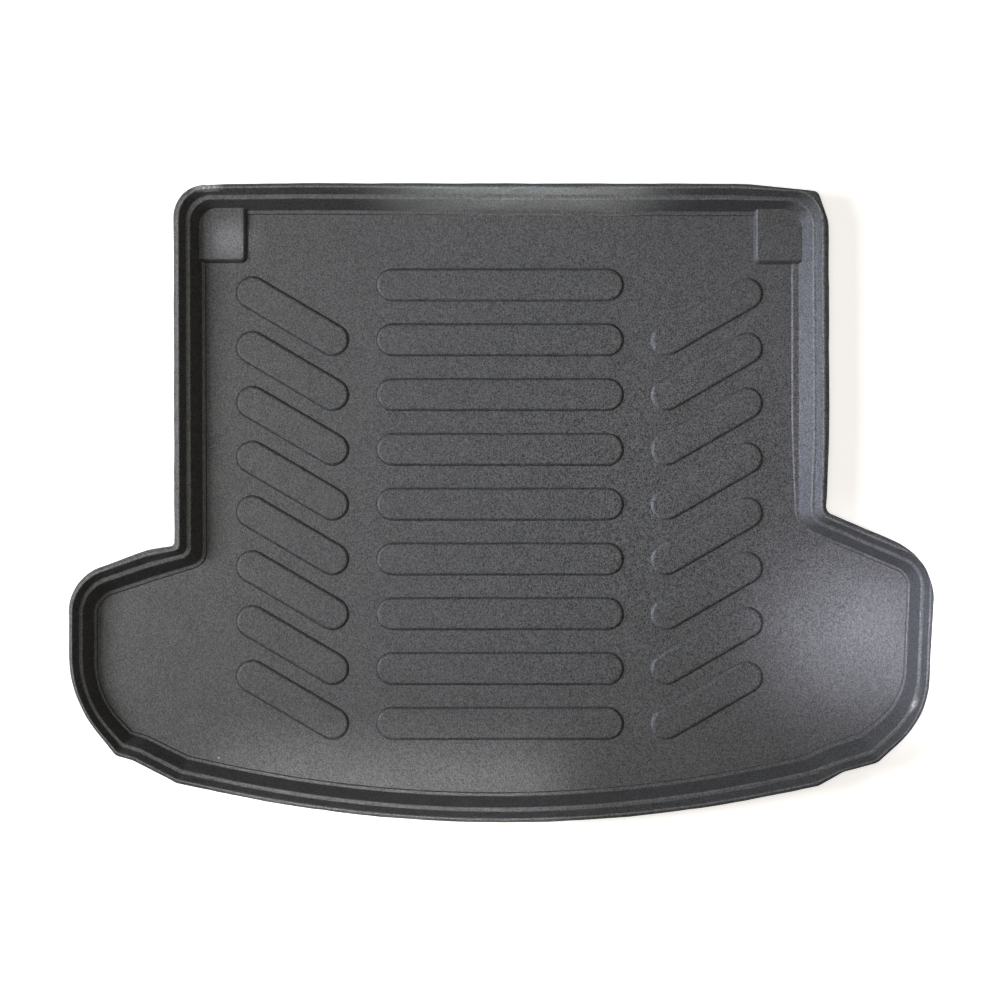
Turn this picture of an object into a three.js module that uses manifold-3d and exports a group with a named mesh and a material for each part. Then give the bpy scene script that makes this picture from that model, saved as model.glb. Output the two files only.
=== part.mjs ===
import * as THREE from 'three';
import Module from 'manifold-3d';

// Car boot liner, thermoformed from one sheet. Millimetres. +X runs to the right side of the
// boot, +Y to the rear seats, +Z up. The underside of the floor lies on z = 0, and the finished
// part is centred on the middle of its plan.

const wasm = await Module();
wasm.setup();

// Overall plan of the trimmed edge.
const PLAN_WIDTH = 1298;
const PLAN_DEPTH = 960;

// Sheet and heights, all taken from the underside of the floor.
const SHEET = 2.5;
const FOOT_STEP = 2.6;
const FOOT_RISE = 0.3;
const LEDGE_Z = 34.2;
const LEDGE_RISE = 0.7;
const CREST_Z = 49.2;
const LIP_DROP = 2.6;

// The rim's section. A share is the part of the way from the floor crease (0) to the trimmed
// edge (1); RIM_RUN is that distance where the section is drawn square.
const RIM_RUN = 41;
const STEP_SHARE = 0.03;
const FOOT_SHARE = 0.155;
const WALL_SHARE = 0.475;
const LEDGE_SHARE = 0.63;
const CREST_SHARE = 0.83;
const SHARES = [0, FOOT_SHARE, WALL_SHARE, LEDGE_SHARE, CREST_SHARE, 1];

// Along the right side the foot is wider and the ledge narrower.
const RIGHT_SHARES = [0, 0.24, 0.61, 0.69, 0.85, 1];
const CORNER_SHARES = [0, 0.2, 0.535, 0.65, 0.84, 1];

// Bend radii of the section and how many facets each takes.
const STEP_BEND = { radius: 0.7, facets: 1 };
const FOOT_BEND = { radius: 1.6, facets: 2 };
const WALL_BEND = { radius: 3.2, facets: 2 };
const LEDGE_BEND = { radius: 1.6, facets: 2 };
const CREST_BEND = { radius: 3.2, facets: 4 };

// The plan as drawn, anticlockwise from the rear left, and stretched to PLAN_WIDTH and
// PLAN_DEPTH by `onPlan`. Each corner has its place and radius at the floor crease and at
// the rim's outer edge. `edge` and `edgeRadius` are those of the hand-trimmed edge where it
// departs from the rim beyond the crest, and `shares` those of the section there.
const CORNERS = [
  {
    name: 'rear left', floor: [-449.5, 438], rim: [-490, 476.2], radii: [22, 48], facets: 6,
    edge: [-491.4, 475.8],
  },
  {
    name: 'left arch', floor: [-447.8, -95], rim: [-488.5, -66], radii: [27, 6], facets: 6,
    edge: [-490.2, -64.6],
  },
  {
    name: 'left arm', floor: [-534.5, -122], rim: [-529, -72], radii: [60, 60], facets: 2,
    edge: [-529, -70.8],
  },
  { name: 'left wing', floor: [-614.6, -148.6], rim: [-648.3, -114], radii: [33, 72], facets: 6 },
  { name: 'left turn', floor: [-614.6, -295.1], rim: [-648.3, -295.2], radii: [130, 190], facets: 6 },
  { name: 'left heel', floor: [-562.4, -349], rim: [-577.3, -380.2], radii: [12, 15], facets: 3 },
  { name: 'left waist', floor: [-537.7, -356.2], rim: [-551.5, -388], radii: [40, 40], facets: 2 },
  { name: 'left knee', floor: [-475.9, -386.7], rim: [-487, -421.4], radii: [6, 12], facets: 2 },
  { name: 'tailgate', floor: [-0.8, -491], rim: [-0.8, -526], radii: [1980, 2030], facets: 12 },
  { name: 'right knee', floor: [462.9, -386.7], rim: [482.5, -424.7], radii: [6, 14], facets: 2 },
  { name: 'right waist', floor: [505.6, -366], rim: [521.5, -403.7], radii: [40, 40], facets: 2 },
  { name: 'right heel', floor: [549.9, -352], rim: [570.2, -389.9], radii: [12, 15], facets: 3 },
  {
    name: 'right turn', floor: [612.9, -302.8], rim: [641.5, -322.6], radii: [107, 135],
    facets: 6, edge: [641.2, -323],
  },
  {
    name: 'right wing', floor: [620.8, -111], rim: [651.3, -86.3], radii: [29, 62], facets: 6,
    edge: [654, -85], edgeRadius: 95,
  },
  {
    name: 'right arch', floor: [450, -38.9], rim: [487.4, -16.5], radii: [43, 13], facets: 6,
    edge: [489, -13.8],
  },
  {
    name: 'right side', floor: [443.9, 124.3], rim: [491.5, 92.3], radii: [400, 400], facets: 2,
    edge: [494, 100], shares: RIGHT_SHARES,
  },
  {
    name: 'rear right side', floor: [443.9, 421], rim: [489.4, 443.4], radii: [26, 46],
    facets: 4, edge: [493, 419], edgeRadius: 60, shares: RIGHT_SHARES,
  },
  {
    name: 'rear right', floor: [428.7, 435.4], rim: [462.8, 470.6], radii: [26, 46], facets: 4,
    edge: [477, 467.3], edgeRadius: 12, shares: CORNER_SHARES,
  },
  { name: 'rear edge', floor: [334.8, 436.2], rim: [362.4, 478.2], radii: [300, 300], facets: 1 },
  { name: 'rear bow', floor: [-305.8, 438.5], rim: [-315.9, 479.1], radii: [300, 300], facets: 1 },
];

// Floor pads: capsules pressed up, one straight row down the middle and a slanted row on
// each side. A row gives the end centres of its pad nearest the rear seats, as drawn.
const PAD_WIDTH = 49.6;
const PAD_HEIGHT = 3.2;
const PAD_FLANK = 1.8;
const PAD_RISE = 1.9;
const PAD_SHOULDER = 3.8;
const PAD_END_FACETS = 8;
const PAD_PITCH = PLAN_DEPTH * 0.0871;
const PAD_ROWS = [
  { count: 9, from: [-164, 331.4], to: [163.2, 331.4] },
  { count: 8, from: [-378.3, 319.6], to: [-256.2, 247.9] },
  { count: 8, from: [376, 318], to: [254, 247.6] },
];

// Corner platforms in the rear corners, each joined to the rim's wall. A platform gives its
// free corner, as drawn, and the side it lies on.
const BOSS_Z = 12.2;
const BOSS_FLANK = 2.8;
const BOSS_SHOULDER = 2.6;
const BOSS_RADIUS = 10;
const BOSS_FACETS = 4;
const BOSSES = [
  { corner: [-385.9, 364.5], away: -1 },
  { corner: [385.9, 362.3], away: 1 },
];
const BOSS_REACH = PLAN_WIDTH / 8;

// Depth by which one body is sunk into another before they are joined.
const SINK = 0.6;

function lerp(a, b, share) {
  return a + (b - a) * share;
}

function direction(a, b) {
  const length = Math.hypot(b[0] - a[0], b[1] - a[1]);
  return { x: (b[0] - a[0]) / length, y: (b[1] - a[1]) / length, length };
}

// Offsets the corners of an anticlockwise plan outwards by `grow`.
function growCorners(corners, grow) {
  const count = corners.length;
  return corners.map((corner, i) => {
    const before = direction(corners[(i + count - 1) % count].at, corner.at);
    const after = direction(corner.at, corners[(i + 1) % count].at);
    const mitre = grow / (1 + before.x * after.x + before.y * after.y);
    const turn = before.x * after.y - before.y * after.x;
    return {
      ...corner,
      at: [
        corner.at[0] + (before.y + after.y) * mitre,
        corner.at[1] - (before.x + after.x) * mitre,
      ],
      radius: Math.max(corner.radius + Math.sign(turn) * grow, 1.5),
    };
  });
}

// Rounds each corner with an arc; arcs that would meet on a side are shortened.
function roundCorners(corners) {
  const count = corners.length;
  const sides = corners.map((corner, i) => direction(corner.at, corners[(i + 1) % count].at));
  const turns = corners.map((corner, i) => {
    const before = sides[(i + count - 1) % count];
    return Math.atan2(
      before.x * sides[i].y - before.y * sides[i].x,
      before.x * sides[i].x + before.y * sides[i].y,
    );
  });
  const wanted = corners.map((corner, i) => corner.radius * Math.tan(Math.abs(turns[i]) / 2));
  const room = sides.map((side, i) =>
    Math.min(1, (0.96 * side.length) / (wanted[i] + wanted[(i + 1) % count])));
  const points = [];
  corners.forEach((corner, i) => {
    const before = sides[(i + count - 1) % count];
    const tangent = wanted[i] * Math.min(room[i], room[(i + count - 1) % count]);
    const radius = tangent / Math.tan(Math.abs(turns[i]) / 2);
    const inward = Math.sign(turns[i]) * radius;
    const centre = [
      corner.at[0] - before.x * tangent - before.y * inward,
      corner.at[1] - before.y * tangent + before.x * inward,
    ];
    for (let k = 0; k <= corner.facets; k += 1) {
      const angle = (turns[i] * k) / corner.facets;
      const spoke = [before.y * inward, -before.x * inward];
      points.push([
        centre[0] + spoke[0] * Math.cos(angle) - spoke[1] * Math.sin(angle),
        centre[1] + spoke[0] * Math.sin(angle) + spoke[1] * Math.cos(angle),
      ]);
    }
  });
  return points;
}

// How far the drawn plan is stretched to reach the overall sizes.
const STRETCH = (() => {
  const edge = roundCorners(CORNERS.map((corner) => ({
    at: corner.edge ?? corner.rim,
    radius: corner.edgeRadius ?? corner.radii[1],
    facets: corner.facets,
  })));
  const reach = (axis) => {
    const places = edge.map((point) => point[axis]);
    return Math.max(...places) - Math.min(...places);
  };
  return [PLAN_WIDTH / reach(0), PLAN_DEPTH / reach(1)];
})();

function onPlan([x, y]) {
  return [x * STRETCH[0], y * STRETCH[1]];
}

// A share of the usual section turned to the section of one corner.
function cornerShare(share, shares) {
  const step = Math.min(SHARES.findLastIndex((bound) => bound <= share), SHARES.length - 2);
  const part = (share - SHARES[step]) / (SHARES[step + 1] - SHARES[step]);
  return lerp(shares[step], shares[step + 1], part);
}

// One corner at a share of the rim: up to the crest on the way to the rim's outer edge, and
// from there to the trimmed edge.
function cornerAt(corner, share) {
  const { floor, rim, radii, facets, shares = SHARES } = corner;
  const { edge = rim, edgeRadius = radii[1] } = corner;
  const s = Math.min(cornerShare(share, shares), shares[SHARES.indexOf(CREST_SHARE)]);
  const past = Math.max(0, (share - CREST_SHARE) / (1 - CREST_SHARE));
  const radius = lerp(lerp(radii[0], radii[1], s), edgeRadius, past);
  return {
    at: onPlan([0, 1].map((axis) => lerp(lerp(floor[axis], rim[axis], s), edge[axis], past))),
    radius: radius * Math.sqrt(STRETCH[0] * STRETCH[1]),
    facets,
  };
}

// The plan at one share of the rim, grown outwards by `grow`, at height z.
function planRing({ share, grow = 0, z }) {
  const corners = CORNERS.map((corner) => cornerAt(corner, share));
  return roundCorners(growCorners(corners, grow)).map(([x, y]) => [x, y, z]);
}

// The upper skin's section with sharp bends: distance outwards, height and bend.
function sharpSection() {
  const foot = SHEET + FOOT_STEP;
  return [
    { u: 0, z: SHEET },
    { u: STEP_SHARE * RIM_RUN, z: foot, bend: STEP_BEND },
    { u: FOOT_SHARE * RIM_RUN, z: foot + FOOT_RISE, bend: FOOT_BEND },
    { u: WALL_SHARE * RIM_RUN, z: LEDGE_Z, bend: WALL_BEND },
    { u: LEDGE_SHARE * RIM_RUN, z: LEDGE_Z + LEDGE_RISE, bend: LEDGE_BEND },
    { u: CREST_SHARE * RIM_RUN, z: CREST_Z, bend: CREST_BEND },
    { u: RIM_RUN, z: CREST_Z - LIP_DROP },
  ];
}

// Rounds the bends of the section.
function bentSection(section) {
  const points = [];
  section.forEach((vertex, i) => {
    if (!vertex.bend) {
      points.push({ u: vertex.u, z: vertex.z });
      return;
    }
    const before = direction([section[i - 1].u, section[i - 1].z], [vertex.u, vertex.z]);
    const after = direction([vertex.u, vertex.z], [section[i + 1].u, section[i + 1].z]);
    const turn = Math.atan2(
      before.x * after.y - before.y * after.x,
      before.x * after.x + before.y * after.y,
    );
    const most = 0.45 * Math.min(before.length, after.length);
    const tangent = Math.min(vertex.bend.radius * Math.tan(Math.abs(turn) / 2), most);
    const start = [vertex.u - before.x * tangent, vertex.z - before.y * tangent];
    const end = [vertex.u + after.x * tangent, vertex.z + after.y * tangent];
    for (let k = 0; k <= vertex.bend.facets; k += 1) {
      const s = k / vertex.bend.facets;
      points.push({
        u: (1 - s) ** 2 * start[0] + 2 * s * (1 - s) * vertex.u + s * s * end[0],
        z: (1 - s) ** 2 * start[1] + 2 * s * (1 - s) * vertex.z + s * s * end[1],
      });
    }
  });
  return points;
}

// The section moved down and outwards through the sheet by `depth`.
function sunkSection(section, depth) {
  return section.map((vertex, i) => {
    const last = section[i - 1] ?? { u: vertex.u - 1, z: vertex.z };
    const next = section[i + 1] ?? { u: 2 * vertex.u - last.u, z: 2 * vertex.z - last.z };
    const before = direction([last.u, last.z], [vertex.u, vertex.z]);
    const after = direction([vertex.u, vertex.z], [next.u, next.z]);
    const mitre = depth / (1 + before.x * after.x + before.y * after.y);
    return {
      share: vertex.u / RIM_RUN,
      grow: (before.y + after.y) * mitre,
      z: vertex.z - (before.x + after.x) * mitre,
    };
  });
}

// A closed body through rings of equal length, capped at both ends.
function loft(rings) {
  const count = rings[0].length;
  const positions = rings.flat(2);
  const faces = [];
  for (let level = 0; level < rings.length - 1; level += 1) {
    for (let i = 0; i < count; i += 1) {
      const a = level * count + i;
      const b = level * count + ((i + 1) % count);
      faces.push(a, b, b + count, a, b + count, a + count);
    }
  }
  cap(rings[0], 0, true, faces);
  cap(rings[rings.length - 1], (rings.length - 1) * count, false, faces);
  return { positions, faces };
}

function cap(ring, first, reversed, faces) {
  const flat = ring.map(([x, y]) => new THREE.Vector2(x, y));
  for (const [a, b, c] of THREE.ShapeUtils.triangulateShape(flat, [])) {
    if (reversed) {
      faces.push(first + a, first + c, first + b);
    } else {
      faces.push(first + a, first + b, first + c);
    }
  }
}

// Several closed bodies as one mesh.
function gather(bodies) {
  const positions = [];
  const faces = [];
  for (const body of bodies) {
    const first = positions.length / 3;
    positions.push(...body.positions);
    faces.push(...body.faces.map((index) => index + first));
  }
  return { positions, faces };
}

function signedVolume({ positions, faces }) {
  let sum = 0;
  for (let i = 0; i < faces.length; i += 3) {
    const [a, b, c] = [0, 1, 2].map((k) =>
      new THREE.Vector3().fromArray(positions, 3 * faces[i + k]));
    sum += a.dot(b.cross(c));
  }
  return sum / 6;
}

function solid(body) {
  const faces = signedVolume(body) < 0 ? [...body.faces].reverse() : body.faces;
  return new wasm.Manifold(new wasm.Mesh({
    numProp: 3,
    vertProperties: new Float32Array(body.positions),
    triVerts: new Uint32Array(faces),
  }));
}

// The sheet: up the upper skin from the floor crease to the trimmed edge, back underneath.
function trayBody() {
  const sharp = sharpSection();
  const upper = bentSection(sharp).map(({ u, z }) => planRing({ share: u / RIM_RUN, z }));
  const lower = sunkSection(sharp, SHEET).reverse().map(planRing);
  return loft([...upper, ...lower].reverse());
}

// The space over the middle of the sheet up to the rim's ledge, which keeps the corner
// platforms from breaking through the wall.
function trayInside() {
  return loft(sunkSection(sharpSection(), SHEET / 2).slice(0, 4).map(planRing));
}

function capsuleRing(from, to, radius, z) {
  const along = direction(from, to);
  const start = Math.atan2(along.y, along.x);
  const ring = [];
  for (const [centre, turn] of [[to, -Math.PI / 2], [from, Math.PI / 2]]) {
    for (let k = 0; k <= PAD_END_FACETS; k += 1) {
      const angle = start + turn + (Math.PI * k) / PAD_END_FACETS;
      ring.push([
        centre[0] + radius * Math.cos(angle),
        centre[1] + radius * Math.sin(angle),
        z,
      ]);
    }
  }
  return ring;
}

// How far a flank's foot moves inwards on the other side of the sheet.
function flankInset(run, rise) {
  return SHEET * Math.tan(Math.atan2(rise, run) / 2);
}

function padEnds() {
  return PAD_ROWS.flatMap((row) =>
    Array.from({ length: row.count }, (_, i) =>
      [row.from, row.to].map((end) => {
        const [x, y] = onPlan(end);
        return [x, y - i * PAD_PITCH];
      })));
}

// A pad's profile as distance inwards and height: a straight flank, then a round shoulder.
function padProfile(facets) {
  const turn = (PAD_HEIGHT * PAD_FLANK) / PAD_RISE;
  return Array.from({ length: facets + 1 }, (_, k) => {
    const s = k / facets;
    return [
      (1 - s) ** 2 * PAD_FLANK + 2 * s * (1 - s) * turn + s * s * (PAD_FLANK + PAD_SHOULDER),
      (1 - s) ** 2 * PAD_RISE + 2 * s * (1 - s) * PAD_HEIGHT + s * s * PAD_HEIGHT,
    ];
  });
}

// All pads as bodies whose flank starts on the plane z = base.
function padBodies(base, buried, inset, facets) {
  return gather(padEnds().map(([from, to]) => {
    const foot = PAD_WIDTH / 2 - inset;
    return loft([
      capsuleRing(from, to, foot, base - buried),
      capsuleRing(from, to, foot, base),
      ...padProfile(facets).map(([x, z]) => capsuleRing(from, to, foot - x, base + z)),
    ]);
  }));
}

// A corner platform's plan, from its free corner out past the rim, drawn in by `inset`.
function bossRing({ corner, away }, inset, z) {
  const [left, low] = onPlan(corner);
  const x = left + away * inset;
  const y = low + inset;
  const box = [
    { at: [x, y], radius: Math.max(BOSS_RADIUS - inset, 2), facets: BOSS_FACETS },
    { at: [x + away * BOSS_REACH, y], radius: 1, facets: 1 },
    { at: [x + away * BOSS_REACH, y + BOSS_REACH], radius: 1, facets: 1 },
    { at: [x, y + BOSS_REACH], radius: 1, facets: 1 },
  ];
  return roundCorners(away > 0 ? box : box.reverse()).map(([px, py]) => [px, py, z]);
}

function bossBodies(base, top, buried, inset) {
  return gather(BOSSES.map((boss) => loft([
    bossRing(boss, inset, base - buried),
    bossRing(boss, inset, base),
    bossRing(boss, inset + BOSS_FLANK, top - BOSS_SHOULDER / 2),
    bossRing(boss, inset + BOSS_FLANK + BOSS_SHOULDER, top),
  ])));
}

function formedSheet() {
  const bossInset = flankInset(BOSS_FLANK, BOSS_Z - SHEET);
  const padInset = flankInset(PAD_FLANK, PAD_RISE);
  const platforms = solid(bossBodies(SHEET, BOSS_Z, SINK, 0)).intersect(solid(trayInside()));
  return solid(trayBody())
    .add(platforms)
    .subtract(solid(bossBodies(0, BOSS_Z - SHEET, SHEET, bossInset)))
    .add(solid(padBodies(SHEET, SINK, 0, 2)))
    .subtract(solid(padBodies(0, SHEET, padInset, 1)));
}

function toMesh(body, name) {
  const { vertProperties, triVerts } = body.getMesh();
  const geometry = new THREE.BufferGeometry();
  geometry.setAttribute('position', new THREE.BufferAttribute(new Float32Array(vertProperties), 3));
  geometry.setIndex(new THREE.BufferAttribute(new Uint32Array(triVerts), 1));
  geometry.computeBoundingBox();
  const centre = geometry.boundingBox.getCenter(new THREE.Vector3());
  geometry.translate(-centre.x, -centre.y, 0);
  geometry.computeVertexNormals();
  const material = new THREE.MeshStandardMaterial({ color: '#3c3d40', roughness: 0.7 });
  const mesh = new THREE.Mesh(geometry, material);
  mesh.name = name;
  return mesh;
}

const liner = new THREE.Group();
liner.name = 'car_boot_liner';
liner.add(toMesh(formedSheet(), 'boot_liner'));

export default liner;
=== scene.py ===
import logging
import math
from dataclasses import dataclass, field
from enum import Enum

import bpy
from mathutils import Matrix, Vector


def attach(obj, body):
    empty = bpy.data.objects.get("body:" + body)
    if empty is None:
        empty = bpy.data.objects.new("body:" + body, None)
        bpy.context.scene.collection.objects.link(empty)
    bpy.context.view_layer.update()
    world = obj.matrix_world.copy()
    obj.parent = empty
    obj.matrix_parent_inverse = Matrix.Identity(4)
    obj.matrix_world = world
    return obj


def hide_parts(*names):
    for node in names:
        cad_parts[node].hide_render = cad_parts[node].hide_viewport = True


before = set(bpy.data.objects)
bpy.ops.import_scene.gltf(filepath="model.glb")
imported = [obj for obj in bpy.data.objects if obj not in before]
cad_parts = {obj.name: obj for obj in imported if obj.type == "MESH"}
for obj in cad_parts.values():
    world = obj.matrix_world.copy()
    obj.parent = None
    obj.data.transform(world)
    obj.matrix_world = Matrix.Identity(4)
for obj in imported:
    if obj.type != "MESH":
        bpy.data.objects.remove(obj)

LOG = logging.getLogger("boot_liner")
METRES_PER_MM = 0.001
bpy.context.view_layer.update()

Point2 = tuple[float, float]
Point3 = tuple[float, float, float]
# A bend's radius in millimetres and the facets along it.
Bend = tuple[float, int]


class Join(Enum):
    """How one closed body is combined with another."""

    ADD = "UNION"
    CUT = "DIFFERENCE"
    KEEP_COMMON = "INTERSECT"


class Side(Enum):
    """The side of the tray that a corner platform lies on."""

    LEFT = -1
    RIGHT = 1


# Shares of the run at which the section has the floor crease, the foot, the wall's top, the
# ledge's end, the crest and the outer edge.
SHARES = (0.0, 0.155, 0.475, 0.63, 0.83, 1.0)
RIGHT_SHARES = (0.0, 0.24, 0.61, 0.69, 0.85, 1.0)
CORNER_SHARES = (0.0, 0.2, 0.535, 0.65, 0.84, 1.0)
HEEL_SHARES = (0.0, 0.18, 0.6, 0.72, 0.87, 1.0)
# The crest's place among the shares.
CREST = 4


@dataclass(frozen=True)
class PlanCorner:
    """A rounded corner of the tray's plan, from the floor crease to the hand-trimmed edge."""

    name: str
    floor: Point2
    rim: Point2
    radii: Point2
    facets: int
    edge: Point2 | None = None
    edge_radius: float | None = None
    shares: tuple[float, ...] = SHARES


@dataclass(frozen=True)
class RoundedCorner:
    """A corner placed on one level of the rim."""

    at: Vector
    radius: float
    facets: int


@dataclass(frozen=True)
class SectionPoint:
    """A point of the rim's section: share of the run, extra distance outwards, height."""

    share: float
    grow: float
    z: float
    bend: float = 0.0
    facets: int = 0


PLAN_CORNERS = (
    PlanCorner("rear left", (-449.5, 438), (-490, 476.2), (22, 48), 6, (-491.4, 475.8)),
    PlanCorner("left arch", (-447.8, -95), (-488.5, -66), (27, 6), 6, (-490.2, -64.6)),
    PlanCorner("left arm", (-534.5, -122), (-529, -72), (60, 60), 2, (-529, -70.8)),
    PlanCorner("left wing", (-614.6, -148.6), (-648.3, -114), (33, 72), 6),
    PlanCorner("left turn", (-614.6, -295.1), (-648.3, -295.2), (130, 190), 6),
    PlanCorner("left heel", (-562.4, -349), (-577.3, -380.2), (12, 15), 3),
    PlanCorner("left waist", (-537.7, -356.2), (-551.5, -388), (40, 40), 2),
    PlanCorner("left knee", (-475.9, -386.7), (-487, -421.4), (6, 12), 2),
    PlanCorner("tailgate", (-0.8, -491), (-0.8, -526), (1980, 2030), 12),
    PlanCorner("right knee", (461.5, -386.2), (477.5, -425.7), (3, 14), 2),
    PlanCorner(
        "right waist", (505.6, -366), (514.5, -405.5), (40, 40), 2, shares=HEEL_SHARES,
    ),
    PlanCorner(
        "right heel", (547.9, -351), (566.2, -390.9), (12, 22), 3, shares=HEEL_SHARES,
    ),
    PlanCorner("right turn", (612.9, -302.8), (641.5, -322.6), (107, 135), 6, (641.2, -323)),
    PlanCorner("right wing", (620.8, -111), (651.3, -86.3), (29, 62), 6, (654, -85), 95),
    PlanCorner("right arch", (450, -38.9), (487.4, -16.5), (43, 13), 6, (489, -13.8)),
    PlanCorner(
        "right side", (443.9, 124.3), (491.5, 92.3), (400, 400), 2, (494, 100),
        shares=RIGHT_SHARES,
    ),
    PlanCorner(
        "rear right side", (443.9, 421), (489.4, 443.4), (26, 46), 4, (493, 419), 60,
        shares=RIGHT_SHARES,
    ),
    PlanCorner(
        "rear right", (428.7, 435.4), (462.8, 470.6), (26, 46), 4, (477, 467.3), 12,
        shares=CORNER_SHARES,
    ),
    PlanCorner("rear edge", (334.8, 436.2), (362.4, 478.2), (300, 300), 1),
    PlanCorner("rear bow", (-305.8, 438.5), (-315.9, 479.1), (300, 300), 1),
)


def lerp(a: float, b: float, share: float) -> float:
    """Returns the value part of the way from a to b."""
    return a + (b - a) * share


def cross(a: Vector, b: Vector) -> float:
    """Returns the z part of the cross product of two plan vectors."""
    return a.x * b.y - a.y * b.x


@dataclass
class TrayPlan:
    """The tray's plan, from the floor crease out to the hand-trimmed edge, in millimetres."""

    width: float = 1297.8
    depth: float = 959.8
    facet_factor: int = 4
    cut_length: float = 20.0
    # The arcs at a side's ends take at most this share of it.
    arc_room: float = 0.96
    least_radius: float = 1.5
    trim_depth: float = 0.9
    trim_cycles: tuple[tuple[int, float, float], ...] = (
        (31, 0.5, 0.7),
        (67, 0.3, 2.1),
        (118, 0.2, 4.4),
    )
    corners: tuple[PlanCorner, ...] = PLAN_CORNERS
    stretch: Vector = field(init=False)
    middle: Vector = field(init=False)
    cuts: list[int] = field(init=False)

    def __post_init__(self) -> None:
        """Works out the stretch to the overall size, the plan's middle and its cuts."""
        self.stretch = Vector((1.0, 1.0))
        self.cuts = [0] * len(self.corners)
        edge = self._rounded(self._placed(1.0), 1)
        low = Vector((min(p.x for p in edge), min(p.y for p in edge)))
        high = Vector((max(p.x for p in edge), max(p.y for p in edge)))
        self.stretch = Vector((self.width / (high.x - low.x), self.depth / (high.y - low.y)))
        self.middle = (low + high) / 2 * self.stretch
        places = self._placed(0.5)
        for i, corner in enumerate(places):
            span = (places[(i + 1) % len(places)].at - corner.at).length
            self.cuts[i] = int(span / self.cut_length)

    @staticmethod
    def past_crest(share: float) -> float:
        """Returns how far a share lies from the crest (0) to the outer edge (1)."""
        return max(0.0, (share - SHARES[CREST]) / (1 - SHARES[CREST]))

    def _corner_at(self, corner: PlanCorner, share: float) -> RoundedCorner:
        """Places one corner: up to the crest towards the rim, then to the trimmed edge.

        Args:
            corner: The corner of the plan.
            share: Part of the way from the floor crease to the trimmed edge.

        Returns:
            The corner with its place and radius.
        """
        step = min(max(i for i, bound in enumerate(SHARES) if bound <= share), CREST)
        part = (share - SHARES[step]) / (SHARES[step + 1] - SHARES[step])
        reached = lerp(corner.shares[step], corner.shares[step + 1], part)
        s = min(reached, corner.shares[CREST])
        past = self.past_crest(share)
        edge_radius = corner.edge_radius or corner.radii[1]
        radius = lerp(lerp(corner.radii[0], corner.radii[1], s), edge_radius, past)
        at = Vector(corner.floor).lerp(Vector(corner.rim), s)
        at = at.lerp(Vector(corner.edge or corner.rim), past)
        scale = math.sqrt(self.stretch.x * self.stretch.y)
        return RoundedCorner(at * self.stretch, radius * scale, corner.facets)

    def _placed(self, share: float) -> list[RoundedCorner]:
        """Returns the corners of the plan on one level of the rim."""
        return [self._corner_at(corner, share) for corner in self.corners]

    def _grown(self, corners: list[RoundedCorner], grow: float) -> list[RoundedCorner]:
        """Offsets an anticlockwise plan outwards.

        Args:
            corners: The plan's corners.
            grow: Distance outwards.

        Returns:
            The offset corners.
        """
        count = len(corners)
        moved = []
        for i, corner in enumerate(corners):
            before = (corner.at - corners[i - 1].at).normalized()
            after = (corners[(i + 1) % count].at - corner.at).normalized()
            mitre = grow / (1 + before.dot(after))
            shift = Vector((before.y + after.y, -before.x - after.x)) * mitre
            radius = corner.radius + math.copysign(1.0, cross(before, after)) * grow
            radius = max(radius, self.least_radius)
            moved.append(RoundedCorner(corner.at + shift, radius, corner.facets))
        return moved

    def _rounded(self, corners: list[RoundedCorner], factor: int) -> list[Vector]:
        """Rounds the corners and cuts the straights between them.

        Args:
            corners: The plan's corners.
            factor: Times by which each corner's facets are multiplied.

        Returns:
            The points of the plan, anticlockwise.
        """
        count = len(corners)
        sides = [corners[(i + 1) % count].at - c.at for i, c in enumerate(corners)]
        ways = [side.normalized() for side in sides]
        turns = [math.atan2(cross(ways[i - 1], ways[i]), ways[i - 1].dot(ways[i]))
                 for i in range(count)]
        wanted = [c.radius * math.tan(abs(t) / 2) for c, t in zip(corners, turns)]
        room = [min(1.0, self.arc_room * side.length / (wanted[i] + wanted[(i + 1) % count]))
                for i, side in enumerate(sides)]
        arcs = []
        for i, corner in enumerate(corners):
            tangent = wanted[i] * min(room[i], room[i - 1])
            radius = math.copysign(tangent / math.tan(abs(turns[i]) / 2), turns[i])
            outward = Vector((ways[i - 1].y, -ways[i - 1].x)) * radius
            centre = corner.at - ways[i - 1] * tangent - outward
            steps = corner.facets * factor
            arcs.append([centre + Matrix.Rotation(turns[i] * k / steps, 2) @ outward
                         for k in range(steps + 1)])
        points: list[Vector] = []
        for i, arc in enumerate(arcs):
            points.extend(arc)
            start, end = arc[-1], arcs[(i + 1) % count][0]
            points.extend(start.lerp(end, k / (self.cuts[i] + 1))
                          for k in range(1, self.cuts[i] + 1))
        return points

    def ring(self, level: SectionPoint) -> list[Point3]:
        """Draws the plan on one level of the rim, with the hand-trimmed edge's waves.

        Args:
            level: The level's share, offset and height.

        Returns:
            The ring's points about the middle of the plan.
        """
        corners = self._grown(self._placed(level.share), level.grow)
        points = self._rounded(corners, self.facet_factor)
        count = len(points)
        steps = [(points[(i + 1) % count] - points[i]).length for i in range(count)]
        around = sum(steps)
        gone = 0.0
        lip = self.past_crest(level.share)
        ring = []
        for i, point in enumerate(points):
            way = (points[(i + 1) % count] - points[i - 1]).normalized()
            outward = Vector((way.y, -way.x))
            wave = sum(size * math.sin(2 * math.pi * cycles * gone / around + phase)
                       for cycles, size, phase in self.trim_cycles)
            place = point - outward * lip * lip * self.trim_depth * (1 + wave) / 2 - self.middle
            ring.append((place.x, place.y, level.z))
            gone += steps[i]
        return ring

    def spot(self, drawn: Point2) -> Vector:
        """Returns a place of the drawn plan about the middle of the plan."""
        return Vector(drawn) * self.stretch - self.middle


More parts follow.
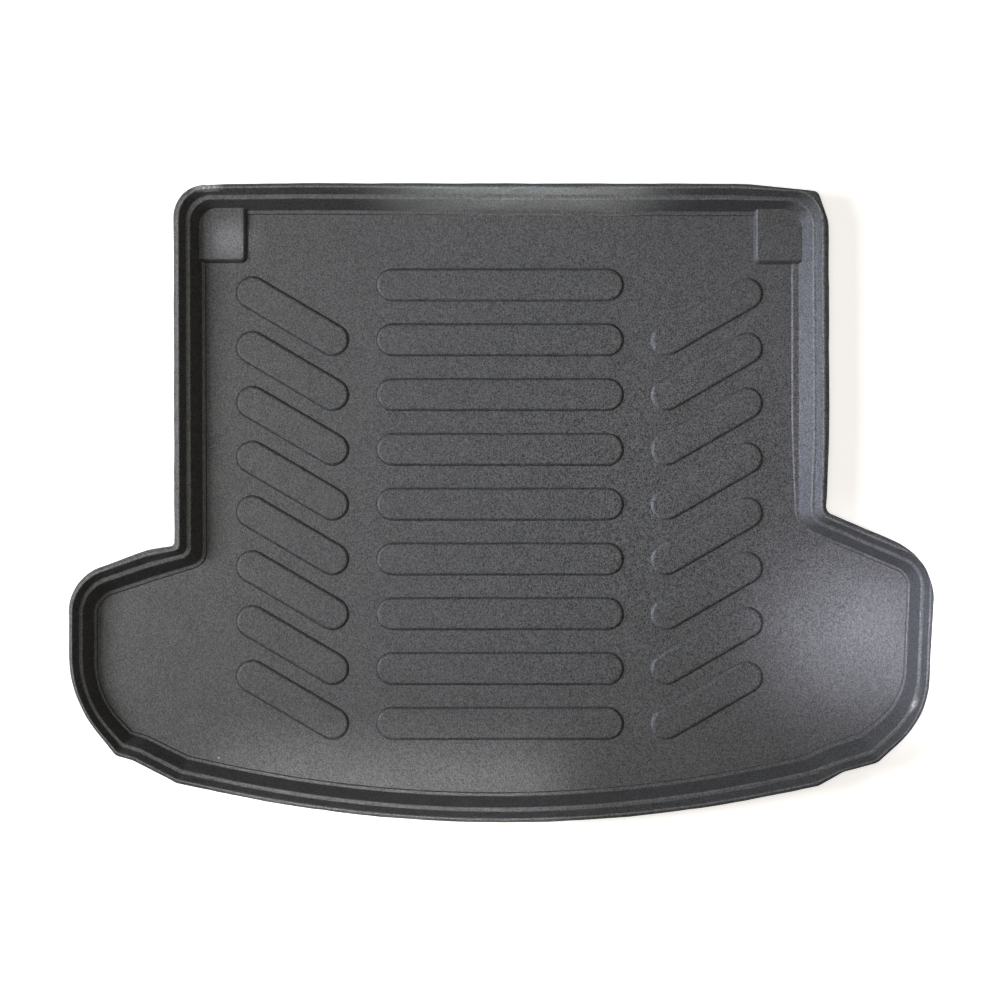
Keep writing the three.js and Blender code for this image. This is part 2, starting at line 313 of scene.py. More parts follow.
@dataclass
class RimSection:
    """The stepped rim's section through the sheet, in millimetres."""

    sheet: float = 2.5
    run: float = 41.0
    crease_share: float = 0.03
    foot_z: float = 5.1
    foot_rise: float = 0.3
    ledge_z: float = 34.2
    ledge_rise: float = 0.7
    crest_z: float = 49.05
    lip_drop: float = 2.6
    crease_bend: Bend = (0.7, 3)
    foot_bend: Bend = (1.6, 5)
    wall_bend: Bend = (3.2, 7)
    ledge_bend: Bend = (1.6, 5)
    crest_bend: Bend = (3.2, 9)
    under_bend: Bend = (1.2, 3)
    # A bend takes at most this share of the straights beside it.
    bend_room: float = 0.45

    def sharp(self) -> list[SectionPoint]:
        """Draws the upper skin's section before its bends are rounded.

        Returns:
            The section's points from the floor to the edge, each with its bend.
        """
        floor, foot, wall, ledge, crest, edge = SHARES
        return [
            SectionPoint(floor, 0.0, self.sheet),
            SectionPoint(self.crease_share, 0.0, self.foot_z, *self.crease_bend),
            SectionPoint(foot, 0.0, self.foot_z + self.foot_rise, *self.foot_bend),
            SectionPoint(wall, 0.0, self.ledge_z, *self.wall_bend),
            SectionPoint(ledge, 0.0, self.ledge_z + self.ledge_rise, *self.ledge_bend),
            SectionPoint(crest, 0.0, self.crest_z, *self.crest_bend),
            SectionPoint(edge, 0.0, self.crest_z - self.lip_drop),
        ]

    def _flat(self, point: SectionPoint) -> Vector:
        """Returns a section point as distance outwards and height."""
        return Vector((point.share * self.run + point.grow, point.z))

    def bent(self, points: list[SectionPoint]) -> list[SectionPoint]:
        """Rounds the bends of a section.

        Args:
            points: The section with sharp bends.

        Returns:
            The section's points along straights and bends.
        """
        out = []
        for i, point in enumerate(points):
            if not point.facets:
                out.append(point)
                continue
            here = self._flat(point)
            before, after = self._flat(points[i - 1]) - here, self._flat(points[i + 1]) - here
            turn = math.pi - before.angle(after)
            most = self.bend_room * min(before.length, after.length)
            tangent = min(point.bend * math.tan(turn / 2), most)
            start = tangent / before.length
            end = tangent / after.length
            for k in range(point.facets + 1):
                s = k / point.facets
                a, b = start * (1 - s) ** 2, end * s * s
                last, next_one = points[i - 1], points[i + 1]
                out.append(SectionPoint(
                    point.share + a * (last.share - point.share)
                    + b * (next_one.share - point.share),
                    point.grow + a * (last.grow - point.grow)
                    + b * (next_one.grow - point.grow),
                    point.z + a * (last.z - point.z) + b * (next_one.z - point.z),
                ))
        return out

    def sunk(self, points: list[SectionPoint], depth: float) -> list[SectionPoint]:
        """Moves a section down and outwards through the sheet.

        Args:
            points: The upper skin's section with sharp bends.
            depth: Distance through the sheet.

        Returns:
            The moved section, with small bends.
        """
        flat = [self._flat(p) for p in points]
        out = []
        for i, point in enumerate(points):
            before = (flat[i] - flat[i - 1]).normalized() if i else Vector((1, 0))
            after = (flat[i + 1] - flat[i]).normalized() if i + 1 < len(flat) else before
            mitre = depth / (1 + before.dot(after))
            bend = self.under_bend if point.facets else (0.0, 0)
            out.append(SectionPoint(
                point.share,
                (before.y + after.y) * mitre,
                point.z - (before.x + after.x) * mitre,
                *bend,
            ))
        return out


@dataclass
class Body:
    """A closed body as points and faces, in millimetres."""

    points: list[Point3] = field(default_factory=list)
    faces: list[tuple[int, ...]] = field(default_factory=list)

    def add_loft(self, rings: list[list[Point3]]) -> None:
        """Adds a body through rings of equal length, capped at both ends.

        Args:
            rings: Rings from the lowest to the highest, each anticlockwise.
        """
        first, count = len(self.points), len(rings[0])
        for ring in rings:
            self.points.extend(ring)
        for level in range(len(rings) - 1):
            base = first + level * count
            for i in range(count):
                j = (i + 1) % count
                self.faces.append((base + i, base + j, base + j + count, base + i + count))
        self.faces.append(tuple(reversed(range(first, first + count))))
        top = first + (len(rings) - 1) * count
        self.faces.append(tuple(range(top, top + count)))

    def to_object(self, name: str) -> bpy.types.Object:
        """Makes the body an object of the scene.

        Args:
            name: The object's name.

        Returns:
            The object, still in millimetres.
        """
        mesh = bpy.data.meshes.new(name)
        mesh.from_pydata(self.points, [], self.faces)
        mesh.validate()
        made = bpy.data.objects.new(name, mesh)
        bpy.context.scene.collection.objects.link(made)
        return made


@dataclass(frozen=True)
class PadRow:
    """A row of pads: the first one's end centres, the crease's depth, the slopes' softness."""

    count: int
    start: Point2
    end: Point2
    crease: float
    softness: float = 1.0


@dataclass
class FloorPads:
    """Rows of capsule-shaped pads pressed up out of the floor, in millimetres."""

    plan: TrayPlan
    width: float = 49.6
    height: float = 3.2
    flank: float = 1.8
    rise: float = 1.9
    shoulder: float = 3.8
    pitch: float = 83.616
    crease_width: float = 0.8
    crease_overlap: float = 0.05
    end_facets: int = 22
    shoulder_facets: int = 6
    rows: tuple[PadRow, ...] = (
        PadRow(9, (-164, 331.4), (163.2, 331.4), 0.55),
        PadRow(8, (-378.3, 319.6), (-256.2, 247.9), 0.7),
        PadRow(8, (376, 318), (254, 247.6), 0.3, 1.25),
    )

    def _ring(self, start: Vector, end: Vector, radius: float, z: float) -> list[Point3]:
        """Draws one pad's outline.

        Args:
            start: Centre of the pad's first end.
            end: Centre of its other end.
            radius: Radius of both ends.
            z: Height.

        Returns:
            The outline, anticlockwise.
        """
        way = (end - start).normalized()
        ring = []
        for centre, quarter in ((end, -math.pi / 2), (start, math.pi / 2)):
            for k in range(self.end_facets + 1):
                turned = Matrix.Rotation(quarter + math.pi * k / self.end_facets, 2) @ way
                spot = centre + turned * radius
                ring.append((spot.x, spot.y, z))
        return ring

    def _profile(self, softness: float) -> list[Point2]:
        """Draws a pad's straight flank and round shoulder.

        Args:
            softness: Times by which the slopes are widened.

        Returns:
            Points as distance inwards and height.
        """
        flank, shoulder = self.flank * softness, self.shoulder * softness
        turn = self.height * flank / self.rise
        shape = [(0.0, 0.0)]
        for k in range(self.shoulder_facets + 1):
            s = k / self.shoulder_facets
            inwards = lerp(lerp(flank, turn, s), lerp(turn, flank + shoulder, s), s)
            shape.append((inwards, lerp(lerp(self.rise, self.height, s), self.height, s)))
        return shape

    def _each(self) -> list[tuple[Vector, Vector, PadRow]]:
        """Lists all pads.

        Returns:
            The end centres and the row of every pad.
        """
        pads = []
        for row in self.rows:
            for i in range(row.count):
                step = Vector((0, -self.pitch * i))
                ends = self.plan.spot(row.start) + step, self.plan.spot(row.end) + step
                pads.append((*ends, row))
        return pads

    def body(self, base: float, buried: float, inset: float, softened: bool = False) -> Body:
        """Builds all pads standing on one plane.

        Args:
            base: Height of the plane that the flanks start from.
            buried: Depth below that plane.
            inset: Distance by which the pads are drawn in.
            softened: Whether each row's softness widens its slopes.

        Returns:
            The pads as one mesh of closed bodies.
        """
        body = Body()
        foot = self.width / 2 - inset
        for start, end, row in self._each():
            profile = self._profile(row.softness if softened else 1.0)
            rings = [self._ring(start, end, foot, base - buried)]
            rings += [self._ring(start, end, foot - x, base + z) for x, z in profile]
            body.add_loft(rings)
        return body

    def creases(self, base: float) -> Body:
        """Builds the hollows that leave a narrow crease round each pad.

        Args:
            base: Height of the floor.

        Returns:
            The hollows as one mesh of closed bodies.
        """
        body = Body()
        foot = self.width / 2
        for start, end, row in self._each():
            body.add_loft([
                self._ring(start, end, foot + self.crease_overlap, base - row.crease),
                self._ring(start, end, foot + self.crease_width, base + self.crease_overlap),
            ])
        return body


@dataclass
class CornerPlatforms:
    """The raised platforms in the rear corners, in millimetres."""

    plan: TrayPlan
    top_z: float = 12.2
    flank: float = 2.8
    shoulder: float = 2.6
    # How full the shoulder's curve is along the top, and how high it starts on the flank.
    shoulder_pull: float = 1.1
    shoulder_drop: float = 0.9
    shoulder_facets: int = 7
    radius: float = 10.0
    least_radius: float = 2.0
    facets: int = 14
    reach: float = 160.0
    places: tuple[tuple[Point2, Side], ...] = (
        ((-385.9, 364.5), Side.LEFT),
        ((385.9, 362.3), Side.RIGHT),
    )

    def _ring(self, corner: Vector, side: Side, inset: float, z: float) -> list[Point3]:
        """Draws one platform's outline from its free corner out past the rim.

        Args:
            corner: The free corner.
            side: Side of the tray.
            inset: Distance by which the outline is drawn in.
            z: Height.

        Returns:
            The outline, anticlockwise.
        """
        away = side.value
        radius = max(self.radius - inset, self.least_radius)
        start = corner + Vector((away * inset, inset))
        outline = []
        for k in range(self.facets + 1):
            angle = math.pi / 2 * k / self.facets
            outline.append(start + Vector((away * radius * (1 - math.sin(angle)),
                                           radius * (1 - math.cos(angle)))))
        outline.append(start + Vector((0, self.reach)))
        outline.append(start + Vector((away * self.reach, self.reach)))
        outline.append(start + Vector((away * self.reach, 0)))
        if side is Side.RIGHT:
            outline.reverse()
        return [(p.x, p.y, z) for p in outline]

    def body(self, base: float, top: float, buried: float, inset: float) -> Body:
        """Builds both platforms.

        Args:
            base: Height at which the flank starts.
            top: Height of the platform's top.
            buried: Depth below the base.
            inset: Distance by which the platforms are drawn in.

        Returns:
            The platforms as one mesh of closed bodies.
        """
        body = Body()
        for drawn, side in self.places:
            corner = self.plan.spot(drawn)
            rings = [self._ring(corner, side, inset, base - buried)]
            rings.append(self._ring(corner, side, inset, base))
            for k in range(self.shoulder_facets + 1):
                s = k / self.shoulder_facets
                along = (2 * s * (1 - s) * self.shoulder_pull + s * s) * self.shoulder
                drop = (1 - s) ** 2 * self.shoulder * self.shoulder_drop
                rings.append(self._ring(corner, side, inset + self.flank + along, top - drop))
            body.add_loft(rings)
        return body


@dataclass(frozen=True)
class Scuff:
    """A rubbed spot: its centre and reach in millimetres, strength, and turn in degrees."""

    centre: Point3
    reach: Point3
    strength: float
    turn: float = 0.0
    # The spot has its full strength up to this share of its reach.
    full_to: float = 0.3


@dataclass(frozen=True)
class FormedPolyethylene:
    """High-density polyethylene, thermoformed: a black sheet with the tool's fine grain.

    The drawn sheet is satin rather than matt: it mirrors lamps as wide soft patches, and the
    grain breaks them into a fine sparkle. Its pits stay darker than its rubbed tops.
    """

    pit_colour: str = "#060606"
    top_colour: str = "#5d5d5e"
    roughness: float = 0.5
    roughness_change: float = 0.06
    ior: float = 1.5
    # The real grain is about 1 mm wide, finer than a pixel here, so it is drawn coarser.
    grain_mm: float = 1.4
    grain_depth_mm: float = 0.4
    # The drawing left the grain deeper towards the right of the middle than on the wings.
    deep_grain_mm: Point3 = (200.0, 20.0, 0.0)
    deep_reach_mm: float = 550.0
    grain_contrast: Point2 = (1.0, 0.66)
    grain_middle: float = 0.5
    mottle_mm: float = 65.0
    # Pale grey: painted highlight along the crest and ledge bends, wear where cargo scraped it.
    wear_and_highlight_colour: str = "#d2d2cf"
    wear_and_highlight_mm: float = 4.0
    crest_mm: Point2 = (47.8, 48.35)
    ledge_mm: tuple[float, float, float] = (32.0, 33.8, 34.6)
    bend_highlight: float = 0.17
    # Painted shade: the narrow creases round the pads are darkened to black in the colour.
    crease_shade_colour: str = "#040404"
    crease_shade_mm: tuple[float, float, float, float] = (1.0, 1.4, 2.0, 2.3)
    scuffs: tuple[Scuff, ...] = (
        Scuff((-440.0, 472.0, 47.0), (26.0, 9.0, 8.0), 0.9),
        Scuff((621.5, -304.0, 38.0), (14.0, 4.0, 20.0), 0.8, 62.0),
        Scuff((-431.0, -389.0, 6.0), (3.0, 3.0, 6.0), 0.9),
    )

    def _wear_and_highlight(self, tree: bpy.types.NodeTree, place: bpy.types.Node) -> bpy.types.Node:
        """Works out the painted highlight on the bends and the scuffs' wear, from 0 to 1.

        Args:
            tree: The material's tree.
            place: The node that gives the place on the sheet.

        Returns:
            The node with the painted highlight and wear as its "Value".
        """
        axes = add_node(tree, "ShaderNodeSeparateXYZ", {}, {"Vector": (place, "Object")})
        low, peak, high = (z * METRES_PER_MM for z in self.ledge_mm)
        crest_low, crest_high = (z * METRES_PER_MM for z in self.crest_mm)
        # Painted highlight: a pale band along the crest.
        crest = add_node(tree, "ShaderNodeMapRange", {
            "From Min": crest_low, "From Max": crest_high, "To Max": self.bend_highlight,
        }, {"Value": (axes, "Z")})
        # Painted highlight: a pale band along the ledge's bend, rising and then falling with height.
        rising = add_node(tree, "ShaderNodeMapRange", {
            "From Min": low, "From Max": peak, "To Max": self.bend_highlight,
        }, {"Value": (axes, "Z")})
        falling = add_node(tree, "ShaderNodeMapRange", {
            "From Min": peak, "From Max": high, "To Min": self.bend_highlight, "To Max": 0.0,
        }, {"Value": (axes, "Z")})
        ledge = add_node(tree, "ShaderNodeMath", {"operation": "MINIMUM"}, {
            0: (rising, "Result"), 1: (falling, "Result"),
        })
        wear_and_highlight = add_node(tree, "ShaderNodeMath", {"operation": "MAXIMUM"}, {
            0: (crest, "Result"), 1: (ledge, "Value"),
        })
        for scuff in self.scuffs:
            wear_and_highlight = self._scuffed(tree, place, wear_and_highlight, scuff)
        broken = add_node(tree, "ShaderNodeTexNoise", {
            "Scale": 1 / (self.wear_and_highlight_mm * METRES_PER_MM), "Detail": 4.0, "Roughness": 0.75,
        }, {"Vector": (place, "Object")})
        patchy = add_node(tree, "ShaderNodeMapRange", {
            "From Min": 0.38, "From Max": 0.62,
        }, {"Value": (broken, "Fac")})
        return add_node(tree, "ShaderNodeMath", {"operation": "MULTIPLY"}, {
            0: (wear_and_highlight, "Value"), 1: (patchy, "Result"),
        })

    def _contrasted(
        self,
        tree: bpy.types.NodeTree,
        place: bpy.types.Node,
        height: bpy.types.Node,
    ) -> bpy.types.Node:
        """Gives the grain more contrast where it is deeper.

        Args:
            tree: The material's tree.
            place: The node that gives the place on the sheet.
            height: The grain's height from 0 to 1.

        Returns:
            The node with the grain's shade as its "Value".
        """
        away = add_node(tree, "ShaderNodeVectorMath", {
            "operation": "DISTANCE", 1: [v * METRES_PER_MM for v in self.deep_grain_mm],
        }, {0: (place, "Object")})
        deepest, shallowest = self.grain_contrast
        contrast = add_node(tree, "ShaderNodeMapRange", {
            "interpolation_type": "SMOOTHSTEP", "From Max": self.deep_reach_mm * METRES_PER_MM,
            "To Min": deepest, "To Max": shallowest,
        }, {"Value": (away, "Value")})
        centred = add_node(tree, "ShaderNodeMath", {
            "operation": "SUBTRACT", 1: self.grain_middle,
        }, {0: (height, "Result")})
        scaled = add_node(tree, "ShaderNodeMath", {"operation": "MULTIPLY"}, {
            0: (centred, "Value"), 1: (contrast, "Result"),
        })
        return add_node(tree, "ShaderNodeMath", {
            "operation": "ADD", 1: self.grain_middle,
        }, {0: (scaled, "Value")})

    def _crease_shade(self, tree: bpy.types.NodeTree, place: bpy.types.Node) -> bpy.types.Node:
        """Finds the creases round the pads by their height, where shade is painted.

        Args:
            tree: The material's tree.
            place: The node that gives the place on the sheet.

        Returns:
            The node with the painted shade, from 0 to 1, as its "Value".
        """
        axes = add_node(tree, "ShaderNodeSeparateXYZ", {}, {"Vector": (place, "Object")})
        below, low, high, floor = (z * METRES_PER_MM for z in self.crease_shade_mm)
        over = add_node(tree, "ShaderNodeMapRange", {
            "From Min": below, "From Max": low,
        }, {"Value": (axes, "Z")})
        under = add_node(tree, "ShaderNodeMapRange", {
            "From Min": high, "From Max": floor, "To Min": 1.0, "To Max": 0.0,
        }, {"Value": (axes, "Z")})
        return add_node(tree, "ShaderNodeMath", {"operation": "MINIMUM"}, {
            0: (over, "Result"), 1: (under, "Result"),
        })

    @staticmethod
    def _scuffed(
        tree: bpy.types.NodeTree,
        place: bpy.types.Node,
        wear_and_highlight: bpy.types.Node,
        scuff: Scuff,
    ) -> bpy.types.Node:
        """Adds one rubbed spot to the painted highlight and wear.

        Args:
            tree: The material's tree.
            place: The node that gives the place on the sheet.
            wear_and_highlight: The painted highlight and wear so far.
            scuff: The rubbed spot.

        Returns:
            The node with the painted highlight and the new wear as its "Value".
        """
        spot = add_node(tree, "ShaderNodeMapping", {
            "vector_type": "TEXTURE",
            "Location": [v * METRES_PER_MM for v in scuff.centre],
            "Rotation": (0.0, 0.0, math.radians(scuff.turn)),
            "Scale": [v * METRES_PER_MM for v in scuff.reach],
        }, {"Vector": (place, "Object")})
        away = add_node(tree, "ShaderNodeVectorMath", {"operation": "LENGTH"}, {
            0: (spot, "Vector"),
        })
        near = add_node(tree, "ShaderNodeMapRange", {
            "From Min": scuff.full_to, "From Max": 1.0, "To Min": scuff.strength, "To Max": 0.0,
        }, {"Value": (away, "Value")})
        return add_node(tree, "ShaderNodeMath", {"operation": "MAXIMUM"}, {
            0: (wear_and_highlight, "Value"), 1: (near, "Result"),
        })

    def material(self) -> bpy.types.Material:
        """Builds the sheet's material.

        Returns:
            A node material.
        """
        made = bpy.data.materials.new("thermoformed_polyethylene")
        made.use_nodes = True
        tree = made.node_tree
        tree.nodes.clear()
        place = add_node(tree, "ShaderNodeTexCoord")
        grain = add_node(tree, "ShaderNodeTexVoronoi", {
            "Scale": 1 / (self.grain_mm * METRES_PER_MM),
        }, {"Vector": (place, "Object")})
        mottle = add_node(tree, "ShaderNodeTexNoise", {
            "Scale": 1 / (self.mottle_mm * METRES_PER_MM), "Detail": 3.0,
        }, {"Vector": (place, "Object")})
        rough = add_node(tree, "ShaderNodeMapRange", {
            "From Min": 0.3, "From Max": 0.7,
            "To Min": self.roughness - self.roughness_change,
            "To Max": self.roughness + self.roughness_change,
        }, {"Value": (mottle, "Fac")})
        height = add_node(tree, "ShaderNodeMapRange", {
            "From Min": 0.2, "From Max": 0.8,
        }, {"Value": (grain, "Color")})
        shade = add_node(tree, "ShaderNodeMixRGB", {
            "Color1": linear(self.pit_colour), "Color2": linear(self.top_colour),
        }, {"Fac": (self._contrasted(tree, place, height), "Value")})
        # The painted highlight on the bends and the scuffs' wear lighten the grain's colour.
        skin_colour = add_node(tree, "ShaderNodeMixRGB", {
            "Color2": linear(self.wear_and_highlight_colour),
        }, {"Fac": (self._wear_and_highlight(tree, place), "Value"), "Color1": (shade, "Color")})
        # Painted shade: the creases round the pads are darkened towards black.
        crease_shaded = add_node(tree, "ShaderNodeMixRGB", {
            "Color2": linear(self.crease_shade_colour),
        }, {"Fac": (self._crease_shade(tree, place), "Value"), "Color1": (skin_colour, "Color")})
        bump = add_node(tree, "ShaderNodeBump", {
            "Strength": 1.0, "Distance": self.grain_depth_mm * METRES_PER_MM, "invert": True,
        }, {"Height": (grain, "Distance")})
        skin = add_node(tree, "ShaderNodeBsdfPrincipled", {
            "IOR": self.ior,
        }, {
            "Base Color": (crease_shaded, "Color"),
            "Roughness": (rough, "Result"),
            "Normal": (bump, "Normal"),
        })
        add_node(tree, "ShaderNodeOutputMaterial", {}, {"Surface": (skin, "BSDF")})
        return made


@dataclass(frozen=True)
class WhitePaper:
    """Uncoated white paper: it scatters light evenly, so it shows soft shadows and no shine.

    The camera sees it glow as well, and more so far from the tray, so that it clips to white
    and only the tray's shadow shows on it. The tray itself is lit by the plain paper.
    """

    colour: str = "#efe9e2"
    glow: Point2 = (0.62, 1.0)
    glow_metres: Point2 = (1.2, 3.5)

    def material(self) -> bpy.types.Material:
        """Builds the paper's material.

        Returns:
            A node material.
        """
        made = bpy.data.materials.new("white_paper")
        made.use_nodes = True
        tree = made.node_tree
        tree.nodes.clear()
        path = add_node(tree, "ShaderNodeLightPath")
        paper = add_node(tree, "ShaderNodeBsdfDiffuse", {"Color": linear(self.colour)})
        place = add_node(tree, "ShaderNodeTexCoord")
        away = add_node(tree, "ShaderNodeVectorMath", {"operation": "LENGTH"}, {
            0: (place, "Object"),
        })
        fade = add_node(tree, "ShaderNodeMapRange", {
            "From Min": self.glow_metres[0], "From Max": self.glow_metres[1],
            "To Min": self.glow[0], "To Max": self.glow[1],
        }, {"Value": (away, "Value")})
        glow = add_node(tree, "ShaderNodeEmission", {}, {"Strength": (fade, "Result")})
        both = add_node(tree, "ShaderNodeAddShader", {}, {
            0: (paper, "BSDF"), 1: (glow, "Emission"),
        })
        seen = add_node(tree, "ShaderNodeMixShader", {}, {
            "Fac": (path, "Is Camera Ray"), 1: (paper, "BSDF"), 2: (both, "Shader"),
        })
        add_node(tree, "ShaderNodeOutputMaterial", {}, {"Surface": (seen, "Shader")})
        return made


def linear(colour: str) -> tuple[float, float, float, float]:
    """Turns an sRGB hex colour to linear.

    Args:
        colour: The colour as #rrggbb.

    Returns:
        Linear red, green and blue, and an alpha of 1.
    """
    parts = [int(colour[i:i + 2], 16) / 255 for i in (1, 3, 5)]
    bent = [p / 12.92 if p <= 0.04045 else ((p + 0.055) / 1.055) ** 2.4 for p in parts]
    return (*bent, 1.0)


def add_node(
    tree: bpy.types.NodeTree,
    kind: str,
    settings: dict[str | int, object] | None = None,
    links: dict[str | int, tuple[bpy.types.Node, str]] | None = None,
) -> bpy.types.Node:
    """Adds a node with its settings and links.

    Args:
        tree: The tree it joins.
        kind: Blender's name of the node type.
        settings: Values of its input sockets, by name or number, or else of its properties.
        links: For each input socket, by name or number, the node and output that feed it.

    Returns:
        The new node.
    """
    node = tree.nodes.new(kind)
    for name, value in (settings or {}).items():
        if isinstance(name, int) or name in node.inputs:
            node.inputs[name].default_value = value
        else:
            setattr(node, name, value)
    for name, (source, output) in (links or {}).items():
        tree.links.new(source.outputs[output], node.inputs[name])
    return node


@dataclass
class BootTray:
    """The whole tray: one sheet, formed with its rim, pads and platforms."""

    plan: TrayPlan = field(default_factory=TrayPlan)
    section: RimSection = field(default_factory=RimSection)
    finish: FormedPolyethylene = field(default_factory=FormedPolyethylene)
    platform_sink: float = 0.6
    pad_sink: float = 1.0
    sharp_angle: float = 36.0

    def _sheet(self) -> Body:
        """Builds the floor and rim, out along the underside and back along the upper skin.

        Returns:
            The sheet without pads and platforms.
        """
        sharp = self.section.sharp()
        upper = self.section.bent(sharp)
        lower = self.section.bent(self.section.sunk(sharp, self.section.sheet))
        body = Body()
        body.add_loft([self.plan.ring(p) for p in lower + upper[::-1]])
        return body

    def _inside(self) -> Body:
        """Builds the space over the middle of the sheet's thickness, up to the rim's ledge.

        Returns:
            The space that the platforms may fill.
        """
        middle = self.section.sunk(self.section.sharp(), self.section.sheet / 2)
        body = Body()
        body.add_loft([self.plan.ring(p) for p in middle[:4]])
        return body

    def _inset(self, run: float, rise: float) -> float:
        """Returns how far a flank's foot moves inwards on the other side of the sheet."""
        return self.section.sheet * math.tan(math.atan2(rise, run) / 2)

    def build(self) -> bpy.types.Object:
        """Forms the sheet.

        Returns:
            The finished piece, in metres.
        """
        sheet = self.section.sheet
        pads = FloorPads(self.plan)
        platforms = CornerPlatforms(self.plan)
        tray = self._sheet().to_object("formed_sheet")
        top = platforms.body(sheet, platforms.top_z, self.platform_sink, 0.0)
        top = top.to_object("platform_tops")
        combine(top, self._inside().to_object("inside"), Join.KEEP_COMMON)
        combine(tray, top, Join.ADD)
        drawn_in = self._inset(platforms.flank, platforms.top_z - sheet)
        under = platforms.body(0.0, platforms.top_z - sheet, sheet, drawn_in)
        combine(tray, under.to_object("platform_hollows"), Join.CUT)
        combine(tray, pads.creases(sheet).to_object("pad_creases"), Join.CUT)
        pad_tops = pads.body(sheet, self.pad_sink, 0.0, softened=True)
        combine(tray, pad_tops.to_object("pad_tops"), Join.ADD)
        drawn_in = self._inset(pads.flank, pads.rise)
        combine(tray, pads.body(0.0, sheet, drawn_in).to_object("pad_hollows"), Join.CUT)
        self._finish_mesh(tray)
        return tray

    def _finish_mesh(self, tray: bpy.types.Object) -> None:
        """Brings the mesh to metres and smooths it between its creases.

        Args:
            tray: The piece, in millimetres.
        """
        tray.data.transform(Matrix.Scale(METRES_PER_MM, 4))
        tray.data.materials.clear()
        tray.data.materials.append(self.finish.material())
        tray.data.polygons.foreach_set("use_smooth", [True] * len(tray.data.polygons))
        tray.data.set_sharp_from_angle(angle=math.radians(self.sharp_angle))
        weighted = tray.modifiers.new("face_weights", "WEIGHTED_NORMAL")
        weighted.keep_sharp = True
        LOG.info("formed sheet: %d faces", len(tray.data.polygons))


def combine(base: bpy.types.Object, other: bpy.types.Object, how: Join) -> None:
    """Combines one closed body with another and removes the other.

    Args:
        base: The body that is kept and changed.
        other: The body combined with it.
        how: The way of combining.
    """
    step = base.modifiers.new("combine", "BOOLEAN")
    step.operation = how.value
    step.solver = "EXACT"
    step.object = other
    seen = base.evaluated_get(bpy.context.evaluated_depsgraph_get())
    mesh = bpy.data.meshes.new_from_object(seen)
    base.modifiers.clear()
    old = base.data
    base.data = mesh
    bpy.data.meshes.remove(old)
    gone = other.data
    bpy.data.objects.remove(other)
    bpy.data.meshes.remove(gone)


@dataclass(frozen=True)
class Softbox:
    """A soft lamp of the studio, with its place, aim and size in metres."""

    name: str
    place: Point3
    aim: Point3
    size: Point2
    watts: float
    colour: str = "#ffffff"
    spread: float = 180.0

    def build(self) -> bpy.types.Object:
        """Adds the lamp to the scene.

        Returns:
            The lamp.
        """
        data = bpy.data.lights.new(self.name, "AREA")
        data.shape = "RECTANGLE"
        data.size, data.size_y = self.size
        data.energy = self.watts
        data.spread = math.radians(self.spread)
        data.color = linear(self.colour)[:3]
        lamp = bpy.data.objects.new(self.name, data)
        lamp.location = self.place
        way = Vector(self.aim) - Vector(self.place)
        lamp.rotation_euler = way.to_track_quat("-Z", "Y").to_euler()
        bpy.context.scene.collection.objects.link(lamp)
        return lamp


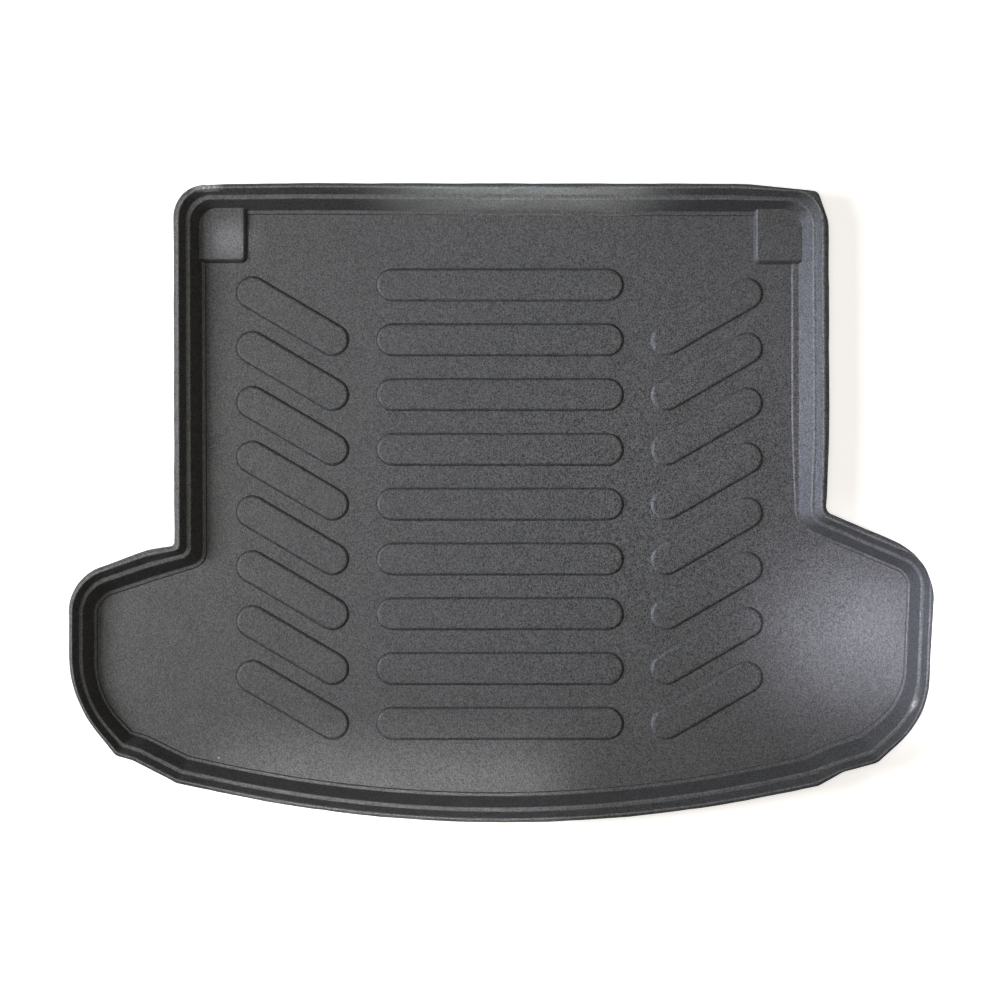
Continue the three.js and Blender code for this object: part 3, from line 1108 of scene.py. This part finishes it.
@dataclass
class Studio:
    """The pale floor, the plain light and the camera straight above the tray."""

    camera_height: float = 2.6
    camera_shift: Point2 = (-0.0019, 0.0041)
    lens_mm: float = 61.3
    sensor_mm: float = 36.0
    floor_half: float = 40.0
    floor_z: float = -0.0003
    paper: WhitePaper = field(default_factory=WhitePaper)
    room_colour: str = "#ffe9cf"
    room_strength: float = 0.03
    # The lamps with a narrow spread make the light patches on the right wing, the right and
    # rear walls, the left platform and the floor by the tailgate.
    lamps: tuple[Softbox, ...] = (
        Softbox("key", (-2.7, 0.2, 2.18), (0.0, 0.0, 0.0), (1.3, 1.3), 114.0, "#fafbff"),
        Softbox("ceiling", (0.0, 0.0, 3.0), (0.0, 0.0, 0.0), (1.4, 1.4), 31.0, "#fffcf3"),
        Softbox("low left", (-1.1, 0.1, 0.42), (0.5, 0.05, 0.0), (0.9, 0.25), 1.1, "#d2e0ff", 26.0),
        Softbox("right wing", (0.95, -0.22, 1.3), (0.59, -0.2, 0.0), (0.16, 0.28), 0.34, "#eeeeff", 13.0),
        Softbox("right wall", (-1.2, 0.2, 1.0), (0.49, 0.18, 0.0), (0.5, 0.2), 0.19, "#f6f4ff", 10.0),
        Softbox("tailgate", (-0.18, -0.95, 1.3), (-0.17, -0.43, 0.0), (0.5, 0.06), 0.15, "#ffffff", 8.0),
        Softbox("rear wall", (0.03, -1.6, 0.45), (0.03, 0.45, 0.09), (0.34, 0.03), 0.34, "#ffffff", 7.0),
        Softbox("platform", (-0.9, 0.55, 1.2), (-0.42, 0.404, 0.04), (0.02, 0.02), 0.006, "#f4f2ff", 3.2),
    )

    def build(self) -> None:
        """Builds the floor, world, lamps and camera."""
        scene = bpy.context.scene
        scene.view_settings.view_transform = "Standard"
        self._floor()
        self._world()
        for lamp in self.lamps:
            lamp.build()
        data = bpy.data.cameras.new("camera")
        data.sensor_width = self.sensor_mm
        data.lens = self.lens_mm
        camera = bpy.data.objects.new("camera", data)
        camera.location = (*self.camera_shift, self.camera_height)
        scene.collection.objects.link(camera)
        scene.camera = camera

    def _floor(self) -> None:
        """Lays the pale floor that takes the tray's shadow."""
        half = self.floor_half
        signs = ((-1, -1), (1, -1), (1, 1), (-1, 1))
        mesh = bpy.data.meshes.new("studio_floor")
        mesh.from_pydata([(half * x, half * y, self.floor_z) for x, y in signs], [], [(0, 1, 2, 3)])
        mesh.materials.append(self.paper.material())
        floor = bpy.data.objects.new("studio_floor", mesh)
        bpy.context.scene.collection.objects.link(floor)

    def _world(self) -> None:
        """Sets a dim room that the camera sees as white."""
        world = bpy.data.worlds.new("studio")
        world.use_nodes = True
        bpy.context.scene.world = world
        tree = world.node_tree
        tree.nodes.clear()
        path = add_node(tree, "ShaderNodeLightPath")
        room = add_node(tree, "ShaderNodeBackground", {
            "Color": linear(self.room_colour), "Strength": self.room_strength,
        })
        white = add_node(tree, "ShaderNodeBackground", {
            "Color": linear("#ffffff"), "Strength": 1.0,
        })
        seen = add_node(tree, "ShaderNodeMixShader", {}, {
            "Fac": (path, "Is Camera Ray"), 1: (room, "Background"), 2: (white, "Background"),
        })
        add_node(tree, "ShaderNodeOutputWorld", {}, {"Surface": (seen, "Shader")})


def main() -> None:
    """Builds the tray and the studio."""
    logging.basicConfig(level=logging.INFO, format="%(name)s: %(message)s")
    tray = BootTray().build()
    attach(tray, "root")
    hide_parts("boot_liner")
    LOG.info("piece %s", tray.name)
    Studio().build()


if __name__ == "__main__":
    main()
